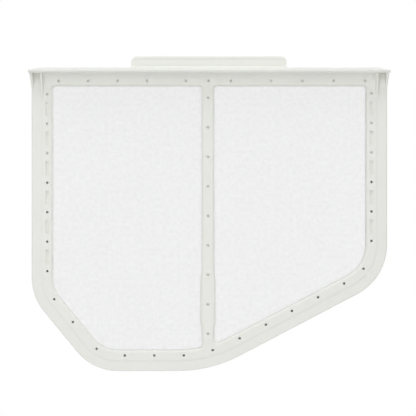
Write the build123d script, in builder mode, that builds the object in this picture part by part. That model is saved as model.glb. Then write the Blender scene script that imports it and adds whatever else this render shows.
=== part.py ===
"""Tumble dryer lint filter: a plastic frame with a pull handle, moulded round one sheet of woven mesh.

Millimetres, +Z up and +X to the right as seen from the front, which faces -Y. The origin lies in the
mid-plane of the mesh, halfway along the panel's width and level with the underside of the top flange.
"""
import os
from math import atan2, ceil, degrees, isclose

from build123d import *

# Panel outline, seen from the front: a steep bevel at the lower left and a long one at the lower right
panel_width = 306.2
panel_drop = 256.1
left_bevel_run = 52.7
left_bevel_rise = 64.3
right_bevel_run = 151.9
right_bevel_rise = 79.7
left_shoulder_radius = 46.0
left_foot_radius = 46.0
right_foot_radius = 117.0
right_shoulder_radius = 48.6

# Panel section: a band round the windows and a rim outside it that lies a low, sloping step further back,
# with depths from the middle of the mesh
rim_width = 8.1
border_width = 18.1
top_border = 10.4
band_forward = 4.2
band_step = 0.35
band_step_run = 1.4
panel_back = 2.5
rim_edge_bevel = 0.6
window_edge_radius = 2.4
window_back_bevel = 0.5
window_corner_radius = 2.2

# Mullion between the two windows, which stands a little left of the middle and swells low down
mullion_width = 11.0
mullion_offset = -1.1
swell = 1.0
swell_top_drop = 177.0
swell_length = 36.0
swell_taper = 6.0

# Top flange: a lip with a low hipped crown, coves under it, and at each end a flared gusset and a rib
flange_overhang = 1.5
flange_front = 17.0
flange_back = 20.0
lip_thickness = 2.5
lip_under_radius = 2.0
lip_edge_bevel = 0.3
lip_land = 1.6
crown_run = 9.5
crown_rise = 2.5
crown_edge_radius = 4.0
front_cove_radius = 5.0
back_cove_radius = 2.0
gusset_reach = 11.5
gusset_drop = 12.5
gusset_thickness = 1.5
gusset_flare = 1.0
rib_drop = 22.0
rib_thickness = 1.8

# Pull handle: an upright tab on a sloping foot, with a bare recess inside a raised rim
handle_width = 133.8
handle_offset = -0.4
handle_top = 15.4
handle_thickness = 3.2
handle_corner_radius = 5.2
handle_edge_bevel = 0.6
handle_foot = 1.8
handle_rim = 2.0
recess_depth = 0.5

# Marks of the many-sided pins that held the mesh in the mould, in runs with a start, a pitch and a count,
# and the grooves between those that stand one above another on the band
pin_diameter = 2.2
pin_sides = 12
pin_pitch = 25.4
pin_inset = 13.5
band_pin_starts = (17.6, 251.7, 501.5)
band_pin_counts = (9, 10, 7)
top_pin_starts = (-129.8, -20.1, 53.2)
top_pin_pitches = (pin_pitch, 19.4, 26.9)
top_pin_counts = (4, 3, 4)
mullion_pin_start = 20.7
mullion_pin_count = 9
top_pin_drop = 6.2
shallow_pin_depth = 2.2
shallow_zone_drop = 81.0
groove_width = 2.6
groove_depth = 1.5
groove_end_gap = 7.0

# Woven mesh: one wall with upright threads in relief on its front and level threads on its back
mesh_grip = 8.3
mesh_wall = 0.3
thread_relief = 0.25
thread_width = 2.4
thread_pitch = 5.25
threads_per_gap = 5

# Sizes that follow from these
rim_forward = band_forward - band_step
band_step_taper = degrees(atan2(band_step_run, band_step))
band_half_width = panel_width / 2 - rim_width - band_step_run
flange_width = panel_width + 2 * flange_overhang
flange_depth = flange_front + flange_back
flange_middle = (flange_back - flange_front) / 2
crown_top = lip_thickness + crown_rise
handle_front = handle_thickness / 2
recess_bottom = crown_top + handle_foot
mesh_thickness = mesh_wall + 2 * thread_relief
gap_width = thread_pitch - thread_width
gap_pitch = threads_per_gap * thread_pitch
touch = 0.001


def panel_profile(inset, top):
    """Panel outline drawn in by inset all round, with its top edge at height top."""
    side = panel_width / 2
    with BuildSketch() as profile:
        with BuildLine():
            flanks = FilletPolyline(
                (-side, top + inset),
                (-side, left_bevel_rise - panel_drop),
                (left_bevel_run - side, -panel_drop),
                (side - right_bevel_run, -panel_drop),
                (side, right_bevel_rise - panel_drop),
                (side, top + inset),
                radius=(left_shoulder_radius, left_foot_radius, right_foot_radius, right_shoulder_radius),
            )
            Line(flanks @ 1, flanks @ 0)
        make_face()
        if inset:
            offset(amount=-inset)
    return profile.sketch


def windows(margin):
    """Outlines of the two windows beside the mullion, drawn in by margin.

    Drawing them in and out again by the corner radius rounds every corner.
    """
    bar = mullion_width + 2 * margin
    right_side = [
        (bar / 2, swell_length / 2 + swell_taper),
        (bar / 2 + swell, swell_length / 2),
        (bar / 2 + swell, -swell_length / 2),
        (bar / 2, -swell_length / 2 - swell_taper),
    ]
    left_side = [(-x, y) for x, y in reversed(right_side)]
    with BuildSketch() as outlines:
        add(panel_profile(border_width + margin, -top_border - margin))
        with Locations((mullion_offset, 0)):
            Rectangle(bar, 2 * panel_drop, mode=Mode.SUBTRACT)
        offset(amount=-window_corner_radius, kind=Kind.INTERSECTION)
        offset(amount=window_corner_radius)
        with Locations((mullion_offset, -swell_top_drop - swell_length / 2)):
            Polygon(*right_side, *left_side, align=None, mode=Mode.SUBTRACT)
    return outlines.sketch


def cove(wall, level, out, up):
    """Hollow quarter round between a wall and a level face, with signed radii out and up."""
    waist = 1 - 0.5**0.5
    with BuildSketch() as profile:
        with BuildLine():
            Polyline((wall, level + up), (wall, level), (wall + out, level))
            ThreePointArc((wall + out, level), (wall + out * waist, level + up * waist), (wall, level + up))
        make_face()
    return profile.sketch


def bracket(back, foot, drop):
    """Side view of a web under the flange that reaches forward there and ends at depth foot, drop below."""
    with BuildSketch() as profile:
        with BuildLine():
            Polyline(
                (back, lip_thickness / 2),
                (-gusset_reach, lip_thickness / 2),
                (-gusset_reach, 0),
                (-foot, -drop),
                (back, -drop),
                close=True,
            )
        make_face()
    return profile.sketch


def places(start, pitch, count):
    """Places of a run of pins."""
    return [start + number * pitch for number in range(count)]


# Flange: a level lip with the hipped crown on it
with BuildPart() as flange:
    with BuildSketch():
        with Locations((0, flange_middle)):
            Rectangle(flange_width, flange_depth)
    extrude(amount=lip_thickness)
    fillet(flange.faces().sort_by(Axis.Z)[0].edges().filter_by(Axis.X), lip_under_radius)
    chamfer(flange.faces().sort_by(Axis.Z)[-1].edges(), lip_edge_bevel)
    with BuildSketch(Plane.XY.offset(lip_thickness)):
        with Locations((0, flange_middle)):
            Rectangle(flange_width - 2 * lip_land, flange_depth - 2 * lip_land)
    with BuildSketch(Plane.XY.offset(crown_top)):
        with Locations((0, flange_middle)):
            Rectangle(flange_width - 2 * crown_run, flange_depth - 2 * crown_run)
    loft()
    fillet(flange.faces().sort_by(Axis.Z)[-1].edges(), crown_edge_radius)

# Handle: an upright tab with its recess on the front, and the foot that joins it to the crown
with BuildPart() as handle:
    with BuildSketch(Plane.XZ.offset(handle_front)) as tab:
        with Locations((handle_offset, lip_thickness)):
            Rectangle(handle_width, handle_top - lip_thickness, align=(Align.CENTER, Align.MIN))
        fillet(tab.vertices().group_by(Axis.Y)[-1], handle_corner_radius)
    extrude(amount=-handle_thickness)
    brinks = handle.edges().filter_by(Plane.XZ).filter_by_position(
        Axis.Z, lip_thickness, handle_top, inclusive=(False, True)
    )
    chamfer(brinks, handle_edge_bevel)
    with BuildSketch(Plane.XZ.offset(handle_front)) as recess:
        with Locations((handle_offset, recess_bottom)):
            Rectangle(
                handle_width - 2 * handle_rim,
                handle_top - handle_rim - recess_bottom,
                align=(Align.CENTER, Align.MIN),
            )
        fillet(recess.vertices().group_by(Axis.Y)[-1], handle_corner_radius - handle_rim)
    extrude(amount=-recess_depth, mode=Mode.SUBTRACT)
    with BuildSketch(Plane.XY.offset(crown_top)):
        with Locations((handle_offset, 0)):
            Rectangle(handle_width + 2 * handle_foot, handle_thickness + 2 * handle_foot)
    extrude(amount=handle_foot, taper=45)

# Gusset of the right end, which flares from the edge of the panel towards the end of the flange
with BuildPart() as gusset:
    with BuildSketch(Plane.YZ):
        add(bracket(panel_back, rim_forward, gusset_drop))
    extrude(amount=panel_width / 2 + gusset_flare)
    with BuildSketch(Plane.XZ):
        with BuildLine():
            Polyline(
                (panel_width / 2 - gusset_thickness, lip_thickness),
                (panel_width / 2 + gusset_flare, lip_thickness),
                (panel_width / 2 + gusset_flare, 0),
                (panel_width / 2, -gusset_drop),
                (panel_width / 2 - gusset_thickness, -gusset_drop),
                close=True,
            )
        make_face()
    extrude(amount=gusset_reach, both=True, mode=Mode.INTERSECT)

# Pins of the band, along the line that they follow from the top of the left side round to the right
pin_line = Wire(panel_profile(pin_inset, 0).edges().sort_by(Axis.Y)[:-1])
band_pins = [
    pin_line.position_at(distance, PositionMode.LENGTH)
    for start, count in zip(band_pin_starts, band_pin_counts)
    for distance in places(start, pin_pitch, count)
]
top_pins = [
    Vector(x, -top_pin_drop)
    for run in zip(top_pin_starts, top_pin_pitches, top_pin_counts)
    for x in places(*run)
]
mullion_pins = [
    Vector(mullion_offset, -drop)
    for drop in places(mullion_pin_start, pin_pitch, mullion_pin_count)
]
groove_middles = [
    (upper + lower) / 2
    for upper, lower in zip(band_pins, band_pins[1:])
    if isclose(upper.X, lower.X, abs_tol=touch)
]
deep_pins = [pin for pin in band_pins if pin.Y < -shallow_zone_drop]
shallow_pins = [pin for pin in band_pins if pin.Y >= -shallow_zone_drop] + top_pins + mullion_pins

# Frame: the whole moulding
with BuildPart() as frame:
    # Plate out to the rim
    with BuildSketch(Plane.XZ.offset(-panel_back)):
        add(panel_profile(0, lip_thickness))
    extrude(amount=rim_forward + panel_back)
    chamfer(frame.edges().filter_by(Plane.XZ).sort_by(Axis.Z)[:-2], rim_edge_bevel)
    # Band and mullion, which stand forward of the rim
    with BuildSketch(Plane.XZ.offset(rim_forward)):
        add(panel_profile(rim_width, lip_thickness))
    extrude(amount=band_step, taper=band_step_taper)
    with BuildSketch(Plane.XZ.offset(-panel_back)):
        add(windows(0))
    extrude(amount=band_forward + panel_back, mode=Mode.SUBTRACT)
    front_face = frame.faces().sort_by(Axis.Y)[0]
    fillet([edge for wire in front_face.inner_wires() for edge in wire.edges()], window_edge_radius)
    back_face = frame.faces().sort_by(Axis.Y)[-1]
    chamfer([edge for wire in back_face.inner_wires() for edge in wire.edges()], window_back_bevel)
    # Flange and handle on top, with the coves and gussets that join them
    add(flange.part)
    add(handle.part)
    with BuildSketch(Plane.YZ):
        add(cove(-band_forward, 0, -front_cove_radius, -front_cove_radius))
    extrude(amount=band_half_width, both=True)
    with BuildSketch(Plane.YZ):
        add(cove(panel_back, 0, back_cove_radius, -back_cove_radius))
    extrude(amount=panel_width / 2 - rim_edge_bevel, both=True)
    add(gusset.part)
    add(mirror(gusset.part, about=Plane.YZ))
    for side in (-1, 1):
        with BuildSketch(Plane.YZ.offset(side * (panel_width / 2 - rim_width - rib_thickness / 2))):
            add(bracket(0, band_forward, rib_drop))
        extrude(amount=rib_thickness / 2, both=True)
    # Pin marks: shallow ones near the top and on the mullion, and deep ones that reach the mesh
    with BuildSketch(Plane.XZ.offset(band_forward)):
        with Locations(*shallow_pins):
            RegularPolygon(pin_diameter / 2, pin_sides)
    extrude(amount=-shallow_pin_depth, mode=Mode.SUBTRACT)
    with BuildSketch(Plane.XZ.offset(band_forward)):
        with Locations(*deep_pins):
            RegularPolygon(pin_diameter / 2, pin_sides)
    extrude(amount=-band_forward, mode=Mode.SUBTRACT)
    # Grooves between the pin marks of the two sides
    with BuildSketch(Plane.XZ.offset(band_forward)):
        with Locations(*groove_middles):
            Rectangle(groove_width, pin_pitch - 2 * groove_end_gap)
    extrude(amount=-groove_depth, mode=Mode.SUBTRACT)
    # Slot that the mesh fills
    with BuildSketch(Plane.XZ.offset(-mesh_thickness / 2)):
        add(panel_profile(border_width - mesh_grip, mesh_grip - top_border))
    extrude(amount=mesh_thickness, mode=Mode.SUBTRACT)

# Mesh screen: the sheet runs under the mullion and into the band all round
upright_threads = 2 * ceil(panel_width / 2 / thread_pitch)
level_threads = 2 * ceil(panel_drop / 2 / thread_pitch)
gap_columns = 2 * ceil(panel_width / 2 / gap_pitch) + 1
gap_rows = 2 * ceil(panel_drop / 2 / gap_pitch) + 1
panel_middle = Location((0, -panel_drop / 2))
clear_faces = windows(gap_width).faces()
gap_places = [
    panel_middle * place
    for place in GridLocations(gap_pitch, gap_pitch, gap_columns, gap_rows)
    if any(face.is_inside((panel_middle * place).position) for face in clear_faces)
]
with BuildPart() as mesh_screen:
    with BuildSketch(Plane.XZ.offset(-mesh_wall / 2)):
        add(panel_profile(border_width - mesh_grip, mesh_grip - top_border))
        with Locations(*gap_places):
            Rectangle(gap_width, gap_width, mode=Mode.SUBTRACT)
    extrude(amount=mesh_wall)
    with BuildSketch(Plane.XZ.offset(mesh_wall / 2)):
        with Locations(panel_middle):
            with GridLocations(thread_pitch, 0, upright_threads, 1):
                Rectangle(thread_width, 2 * panel_drop)
        add(panel_profile(border_width - mesh_grip, mesh_grip - top_border), mode=Mode.INTERSECT)
    extrude(amount=thread_relief)
    with BuildSketch(Plane.XZ.offset(-mesh_wall / 2)):
        with Locations(panel_middle):
            with GridLocations(0, thread_pitch, 1, level_threads):
                Rectangle(2 * panel_width, thread_width)
        add(panel_profile(border_width - mesh_grip, mesh_grip - top_border), mode=Mode.INTERSECT)
    extrude(amount=-thread_relief)

frame.part.label = "frame"
mesh_screen.part.label = "mesh_screen"

os.makedirs("parts", exist_ok=True)
export_step(frame.part, "parts/frame.step")
export_step(mesh_screen.part, "parts/mesh_screen.step")
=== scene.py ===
"""Looks of the tumble dryer lint filter: off-white moulded frame, woven mesh, pale floor and soft lamps.

Lengths are in metres, in the frame of the part: +Z up, +X to the right, and the front faces -Y.
"""

import math
import random

import bmesh
import bpy
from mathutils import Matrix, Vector
from mathutils.bvhtree import BVHTree


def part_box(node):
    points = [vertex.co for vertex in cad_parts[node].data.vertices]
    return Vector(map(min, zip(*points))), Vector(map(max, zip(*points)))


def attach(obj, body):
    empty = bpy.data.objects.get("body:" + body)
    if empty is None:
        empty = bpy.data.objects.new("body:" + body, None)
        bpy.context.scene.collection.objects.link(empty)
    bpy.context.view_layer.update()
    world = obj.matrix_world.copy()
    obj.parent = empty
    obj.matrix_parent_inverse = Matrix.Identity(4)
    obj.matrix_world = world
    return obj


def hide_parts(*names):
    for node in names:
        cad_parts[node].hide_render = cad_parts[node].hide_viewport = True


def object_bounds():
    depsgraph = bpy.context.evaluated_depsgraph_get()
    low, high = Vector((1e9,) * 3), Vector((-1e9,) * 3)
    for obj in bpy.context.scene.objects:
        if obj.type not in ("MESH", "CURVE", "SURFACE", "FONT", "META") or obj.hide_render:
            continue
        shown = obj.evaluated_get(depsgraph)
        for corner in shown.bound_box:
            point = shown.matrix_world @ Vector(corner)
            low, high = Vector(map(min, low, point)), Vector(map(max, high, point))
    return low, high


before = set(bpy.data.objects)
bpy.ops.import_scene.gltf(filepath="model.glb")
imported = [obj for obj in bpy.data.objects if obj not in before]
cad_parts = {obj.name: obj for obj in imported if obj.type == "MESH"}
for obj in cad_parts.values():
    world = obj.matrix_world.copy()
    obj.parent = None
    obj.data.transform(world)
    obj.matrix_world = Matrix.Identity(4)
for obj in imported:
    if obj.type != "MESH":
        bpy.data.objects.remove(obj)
cad_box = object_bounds()
low, high = cad_box

# Camera: square on to the panel, at the distance that gives the photograph's perspective
camera_distance = 1.25
view_width = 0.3594
view_middle_x = -0.0012
view_middle_z = -0.1156
sensor_width_mm = 36.0

# Lamps: soft ovals that all face the middle of the part, with their power in watts, and an even fill
lamps = {
    "top": dict(place=(0.0, -0.4, 1.2), width=1.6, height=1.0, power=9.2),
    "high": dict(place=(-0.2, -1.5, 0.6), width=1.6, height=1.0, power=6.6),
    "low": dict(place=(-0.2, -1.3, -0.45), width=1.6, height=0.4, power=3.5),
    "rear": dict(place=(1.0, 1.2, 0.1), width=0.7, height=0.7, power=12.0),
}
fill_light = 0.35

# Floor, well below the part, which its flange holds up, with the glow in its middle and at its edge
floor_gap = 0.5
floor_size = 6.0
near_glow = 0.3
far_glow = 0.75

# Woven mesh: threads of one size, level ones behind upright ones
thread_width = 0.00016
thread_pitch = 0.00062
thread_layer = 0.0001
thread_spans = 6
pitch_wander = 0.00004
path_wander = 0.00003
thread_end_gap = 0.0003
weave_seed = 11

# Colours, as linear red, green and blue, and the factors between which noise tints them
white = (1.0, 1.0, 1.0)
floor_colour = (0.88, 0.88, 0.88)
plastic_colour = (0.830, 0.838, 0.792)
plastic_tints = (0.985, 1.012)
thread_colour = (0.835, 0.835, 0.84)
thread_tints = (0.92, 1.08)

# Finish: scale and detail of each noise, the part of its range that counts, grain, roughness and shine
cloud_scale = 26.0
cloud_detail = 3.0
grain_scale = 2600.0
grain_detail = 2.0
patch_scale = 320.0
patch_detail = 2.0
noise_range = (0.3, 0.7)
grain_strength = 0.06
grain_height = 0.0001
plastic_roughness = (0.40, 0.50)
plastic_shine = 0.4
thread_roughness = 0.45

x_axis = Vector((1, 0, 0))
y_axis = Vector((0, 1, 0))
z_axis = Vector((0, 0, 1))


def new_material(name):
    """New material; returns it with its nodes, its links and its Principled shader."""
    material = bpy.data.materials.new(name)
    material.use_nodes = True
    tree = material.node_tree
    return material, tree.nodes, tree.links, tree.nodes["Principled BSDF"]


def scaled(colour, factor):
    """Colour times a factor, with an alpha of one."""
    return (*(channel * factor for channel in colour), 1.0)


def noise(nodes, links, scale, detail):
    """Noise in object space."""
    place = nodes.new("ShaderNodeTexCoord")
    texture = nodes.new("ShaderNodeTexNoise")
    texture.inputs["Scale"].default_value = scale
    texture.inputs["Detail"].default_value = detail
    links.new(place.outputs["Object"], texture.inputs["Vector"])
    return texture.outputs["Fac"]


def tinted(nodes, links, value, colour, factors):
    """Colour times a factor that goes from the first to the last as value goes through the noise range."""
    ramp = nodes.new("ShaderNodeValToRGB")
    for stop, position, factor in zip(ramp.color_ramp.elements, noise_range, factors):
        stop.position = position
        stop.color = scaled(colour, factor)
    links.new(value, ramp.inputs["Fac"])
    return ramp.outputs["Color"]


def plastic():
    """Off-white moulded plastic: faint clouding, a fine satin grain and roughness that varies a little."""
    material, nodes, links, shader = new_material("moulded_plastic")
    clouds = noise(nodes, links, cloud_scale, cloud_detail)
    links.new(tinted(nodes, links, clouds, plastic_colour, plastic_tints), shader.inputs["Base Color"])
    links.new(tinted(nodes, links, clouds, white, plastic_roughness), shader.inputs["Roughness"])
    bump = nodes.new("ShaderNodeBump")
    bump.inputs["Strength"].default_value = grain_strength
    bump.inputs["Distance"].default_value = grain_height
    links.new(noise(nodes, links, grain_scale, grain_detail), bump.inputs["Height"])
    links.new(bump.outputs["Normal"], shader.inputs["Normal"])
    shader.inputs["Specular IOR Level"].default_value = plastic_shine
    return material


def thread():
    """White single-filament thread that is a little lighter and darker from place to place."""
    material, nodes, links, shader = new_material("mesh_thread")
    patches = noise(nodes, links, patch_scale, patch_detail)
    links.new(tinted(nodes, links, patches, thread_colour, thread_tints), shader.inputs["Base Color"])
    shader.inputs["Roughness"].default_value = thread_roughness
    return material


def seen_rays(nodes, links):
    """One for rays from the camera and for those that mirror or pass through, nothing for the rest."""
    path = nodes.new("ShaderNodeLightPath")
    seen = path.outputs["Is Camera Ray"]
    for kind in ("Is Glossy Ray", "Is Transmission Ray"):
        either = nodes.new("ShaderNodeMath")
        either.operation = "MAXIMUM"
        links.new(seen, either.inputs[0])
        links.new(path.outputs[kind], either.inputs[1])
        seen = either.outputs["Value"]
    return seen


def floor_paint():
    """Pale floor that takes shadows, with a glow that grows outwards and hides its edge in the white."""
    material, nodes, links, shader = new_material("floor_paint")
    nodes.remove(shader)
    matt = nodes.new("ShaderNodeBsdfDiffuse")
    matt.inputs["Color"].default_value = scaled(floor_colour, 1.0)
    place = nodes.new("ShaderNodeTexCoord")
    distance = nodes.new("ShaderNodeVectorMath")
    distance.operation = "LENGTH"
    links.new(place.outputs["Object"], distance.inputs["Vector"])
    growth = nodes.new("ShaderNodeMapRange")
    growth.inputs["From Max"].default_value = floor_size / 2
    growth.inputs["To Min"].default_value = near_glow
    growth.inputs["To Max"].default_value = far_glow
    links.new(distance.outputs["Value"], growth.inputs["Value"])
    shown = nodes.new("ShaderNodeMath")
    shown.operation = "MULTIPLY"
    links.new(growth.outputs["Result"], shown.inputs[0])
    links.new(seen_rays(nodes, links), shown.inputs[1])
    glow = nodes.new("ShaderNodeEmission")
    links.new(shown.outputs["Value"], glow.inputs["Strength"])
    both = nodes.new("ShaderNodeAddShader")
    links.new(matt.outputs["BSDF"], both.inputs[0])
    links.new(glow.outputs["Emission"], both.inputs[1])
    links.new(both.outputs["Shader"], nodes["Material Output"].inputs["Surface"])
    return material


def sheet_outline():
    """CAD sheet in a form that tells where a line meets it."""
    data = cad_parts["mesh_screen"].data
    corners = [vertex.co for vertex in data.vertices]
    return BVHTree.FromPolygons(corners, [face.vertices for face in data.polygons])


def thread_path(start, end, across, draw):
    """Points from start to end that wander a little to either side."""
    stops = [start.lerp(end, number / thread_spans) for number in range(thread_spans + 1)]
    return [stop + across * draw.uniform(-path_wander, path_wander) for stop in stops]


def add_thread(mesh, points, across):
    """Square-section thread through points, with its edges set out along across and along Y."""
    half = thread_width / 2
    turn = (across, y_axis, -across, -y_axis)
    rings = [[mesh.verts.new(point + half * side) for side in turn] for point in points]
    for ring, after in zip(rings, rings[1:]):
        for one in range(len(turn)):
            two = (one + 1) % len(turn)
            mesh.faces.new((ring[one], ring[two], after[two], after[one]))
    mesh.faces.new(reversed(rings[0]))
    mesh.faces.new(rings[-1])


def woven_mesh():
    """Threads trimmed to the outline of the CAD sheet; returns the piece and the sheet's flat area."""
    outline = sheet_outline()
    least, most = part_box("mesh_screen")
    reach = (most - least).length
    draw = random.Random(weave_seed)
    mesh = bmesh.new()
    area = 0.0
    for along, across, depth in ((z_axis, x_axis, -thread_layer), (x_axis, z_axis, thread_layer)):
        first, last = least.dot(across), most.dot(across)
        for number in range(int((last - first) / thread_pitch)):
            place = first + (number + 0.5) * thread_pitch + draw.uniform(-pitch_wander, pitch_wander)
            start = outline.ray_cast(across * place - along * reach, along)[0]
            end = outline.ray_cast(across * place + along * reach, -along)[0]
            if start is None or end is None:
                continue
            if along is z_axis:
                area += (end - start).length * thread_pitch
            trim = along * thread_end_gap
            layer = y_axis * depth
            add_thread(mesh, thread_path(start + trim + layer, end - trim + layer, across, draw), across)
    bmesh.ops.recalc_face_normals(mesh, faces=mesh.faces)
    data = bpy.data.meshes.new("woven_mesh")
    mesh.to_mesh(data)
    mesh.free()
    piece = bpy.data.objects.new("woven_mesh", data)
    bpy.context.scene.collection.objects.link(piece)
    return piece, area


def add_floor():
    """Level floor below the part."""
    bpy.ops.mesh.primitive_plane_add(size=floor_size, location=(0, 0, low.z - floor_gap))
    floor = bpy.context.object
    floor.name = "floor"
    floor.data.materials.append(floor_paint())


def add_lamp(name, place, aim, width, height, power):
    """Soft oval area light at place, turned to aim."""
    light = bpy.data.lights.new(name, "AREA")
    light.shape = "ELLIPSE"
    light.size = width
    light.size_y = height
    light.energy = power
    holder = bpy.data.objects.new(name, light)
    holder.location = place
    holder.rotation_euler = (aim - Vector(place)).to_track_quat("-Z", "Y").to_euler()
    bpy.context.scene.collection.objects.link(holder)


def set_world():
    """White surroundings for what the camera sees and what reflects, and a plain fill for the rest."""
    world = bpy.data.worlds.new("studio")
    bpy.context.scene.world = world
    world.use_nodes = True
    nodes, links = world.node_tree.nodes, world.node_tree.links
    seen = nodes["Background"]
    seen.inputs["Color"].default_value = scaled(white, 1.0)
    seen.inputs["Strength"].default_value = 1.0
    soft = nodes.new("ShaderNodeBackground")
    soft.inputs["Color"].default_value = scaled(white, 1.0)
    soft.inputs["Strength"].default_value = fill_light
    mix = nodes.new("ShaderNodeMixShader")
    links.new(seen_rays(nodes, links), mix.inputs["Fac"])
    links.new(soft.outputs["Background"], mix.inputs[1])
    links.new(seen.outputs["Background"], mix.inputs[2])
    links.new(mix.outputs["Shader"], nodes["World Output"].inputs["Surface"])


def add_camera():
    """Camera in front of the panel, looking along +Y."""
    data = bpy.data.cameras.new("camera")
    data.sensor_width = sensor_width_mm
    data.lens = sensor_width_mm * camera_distance / view_width
    camera = bpy.data.objects.new("camera", data)
    camera.location = (view_middle_x, -camera_distance, view_middle_z)
    camera.rotation_euler = (math.pi / 2, 0, 0)
    bpy.context.scene.collection.objects.link(camera)
    bpy.context.scene.camera = camera


# Frame: the CAD solid in its plastic
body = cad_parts["frame"]
body.data.materials.clear()
body.data.materials.append(plastic())

# Mesh screen: the weave in place of the CAD sheet
screen, sheet_area = woven_mesh()
screen.data.materials.append(thread())
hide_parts("mesh_screen")
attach(screen, "root")

# Studio
add_floor()
set_world()
for lamp_name, lamp in lamps.items():
    add_lamp(lamp_name, aim=(low + high) / 2, **lamp)
add_camera()
bpy.context.scene.view_settings.view_transform = "Standard"
